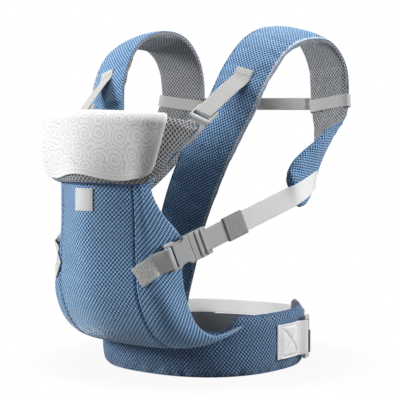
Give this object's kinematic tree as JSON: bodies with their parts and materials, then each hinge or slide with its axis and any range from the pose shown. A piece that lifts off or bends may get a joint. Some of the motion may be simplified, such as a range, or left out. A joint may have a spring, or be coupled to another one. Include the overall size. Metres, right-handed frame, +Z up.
{
  "type": "soft baby carrier",
  "caption": "Soft front baby carrier: padded waist belt, seat panel with folded head flap and bib, padded shoulder straps, side release buckles, cross strap and waist ring.",
  "frame": {"origin": "centre of the belt opening, on the plane of its lower edge", "axes": "+Z up, -Y out of the wearer's front, +X to the wearer's left"},
  "size_m": [0.407, 0.442, 0.5316],
  "materials": {
    "blue_mesh": "open three-dimensional air mesh",
    "grey_mesh": "open air mesh lining",
    "foam": "soft padding, hidden",
    "white_cotton": "woven cotton with a pale line print",
    "grey_web": "woven webbing",
    "white_web": "woven webbing",
    "dark_web": "woven webbing",
    "grey_plastic": "satin moulded plastic"
  },
  "bodies": {
    "carrier": {"belt_cover": "blue_mesh", "belt_foam": "foam", "belt_lining": "grey_mesh", "strap_cover_left": "blue_mesh", "strap_cover_right": "blue_mesh", "strap_foam_left": "foam", "strap_foam_right": "foam", "strap_lining_left": "grey_mesh", "strap_lining_right": "grey_mesh", "panel_lining": "grey_mesh", "panel_middle": "blue_mesh", "panel_wing_left": "blue_mesh", "panel_wing_right": "blue_mesh", "panel_label": "grey_web", "side_tab_left": "grey_web", "side_tab_right": "grey_web", "side_buckle_female_left": "grey_plastic", "side_buckle_female_right": "grey_plastic", "side_webbing_left": "white_web", "side_webbing_right": "white_web", "top_webbing_left": "grey_web", "top_webbing_right": "grey_web", "top_anchor_left": "grey_web", "top_anchor_right": "grey_web", "waist_tab": "white_web", "waist_webbing": "dark_web", "waist_back_band": "white_web"},
    "head_flap": {"head_flap_cover": "blue_mesh", "head_flap_foam": "foam", "head_flap_lining": "grey_mesh", "bib": "white_cotton"},
    "side_male_left": {"side_buckle_male_left": "grey_plastic", "side_loop_left": "grey_web"},
    "prong_upper_left": {"side_prong_upper_left": "grey_plastic"},
    "prong_lower_left": {"side_prong_lower_left": "grey_plastic"},
    "keeper_left": {"side_keeper_left": "grey_web"},
    "adjuster_left": {"top_adjuster_left": "grey_plastic"},
    "side_male_right": {"side_buckle_male_right": "grey_plastic", "side_loop_right": "grey_web"},
    "prong_upper_right": {"side_prong_upper_right": "grey_plastic"},
    "prong_lower_right": {"side_prong_lower_right": "grey_plastic"},
    "keeper_right": {"side_keeper_right": "grey_web"},
    "adjuster_right": {"top_adjuster_right": "grey_plastic"},
    "cross_strap": {"cross_loop_left": "grey_web", "cross_loop_right": "grey_web", "cross_webbing": "grey_web"},
    "cross_slider": {"cross_slider": "grey_plastic"},
    "waist_ring": {"waist_ring": "grey_plastic"}
  },
  "joints": [
    {"name": "head_flap_lift", "type": "hinge", "parent": "carrier", "child": "head_flap", "pos_m": [0, -0.175, 0.385], "axis": [-1, 0, 0], "range_deg": [0, 100]},
    {"name": "side_male_left_pull", "type": "slide", "parent": "carrier", "child": "side_male_left", "axis": [0.3208, 0.8744, 0.364], "range_m": [0, 0.03], "deforming": ["side_webbing_left"]},
    {"name": "prong_upper_left_squeeze", "type": "hinge", "parent": "side_male_left", "child": "prong_upper_left", "pos_m": [0.12029, -0.18482, 0.21348], "axis": [0.9358, -0.352, 0.0209], "range_deg": [0, 8], "stiffness_Nm_per_rad": 0.2},
    {"name": "prong_lower_left_squeeze", "type": "hinge", "parent": "side_male_left", "child": "prong_lower_left", "pos_m": [0.1241, -0.17614, 0.18927], "axis": [0.9358, -0.352, 0.0209], "range_deg": [-8, 0], "stiffness_Nm_per_rad": 0.2},
    {"name": "keeper_left_slide", "type": "slide", "parent": "carrier", "child": "keeper_left", "axis": [0.3208, 0.8744, 0.364], "range_m": [-0.008, 0.02]},
    {"name": "adjuster_left_slide", "type": "slide", "parent": "carrier", "child": "adjuster_left", "axis": [0.1871, 0.7684, 0.612], "range_m": [-0.008, 0.015], "deforming": ["top_anchor_left"]},
    {"name": "side_male_right_pull", "type": "slide", "parent": "carrier", "child": "side_male_right", "axis": [-0.3208, 0.8744, 0.364], "range_m": [0, 0.03], "deforming": ["side_webbing_right"]},
    {"name": "prong_upper_right_squeeze", "type": "hinge", "parent": "side_male_right", "child": "prong_upper_right", "pos_m": [-0.12029, -0.18482, 0.21348], "axis": [0.9358, 0.352, -0.0209], "range_deg": [0, 8], "stiffness_Nm_per_rad": 0.2},
    {"name": "prong_lower_right_squeeze", "type": "hinge", "parent": "side_male_right", "child": "prong_lower_right", "pos_m": [-0.1241, -0.17614, 0.18927], "axis": [0.9358, 0.352, -0.0209], "range_deg": [-8, 0], "stiffness_Nm_per_rad": 0.2},
    {"name": "keeper_right_slide", "type": "slide", "parent": "carrier", "child": "keeper_right", "axis": [-0.3208, 0.8744, 0.364], "range_m": [-0.008, 0.02]},
    {"name": "adjuster_right_slide", "type": "slide", "parent": "carrier", "child": "adjuster_right", "axis": [-0.1871, 0.7684, 0.612], "range_m": [-0.008, 0.015], "deforming": ["top_anchor_right"]},
    {"name": "cross_strap_height", "type": "slide", "parent": "carrier", "child": "cross_strap", "axis": [0, 0.0922, 0.9957], "range_m": [-0.004, 0.01]},
    {"name": "cross_slider_slide", "type": "slide", "parent": "cross_strap", "child": "cross_slider", "axis": [1, 0, 0], "range_m": [-0.005, 0.12]},
    {"name": "waist_ring_swivel", "type": "hinge", "parent": "carrier", "child": "waist_ring", "pos_m": [0.15441, 0.06264, 0.045], "axis": [0, 0, -1], "range_deg": [0, 50], "deforming": ["waist_webbing"]}
  ],
  "couplings": [
    {"joint": "prong_lower_left_squeeze", "follows": "prong_upper_left_squeeze", "ratio": -1},
    {"joint": "prong_lower_right_squeeze", "follows": "prong_upper_right_squeeze", "ratio": -1}
  ]
}
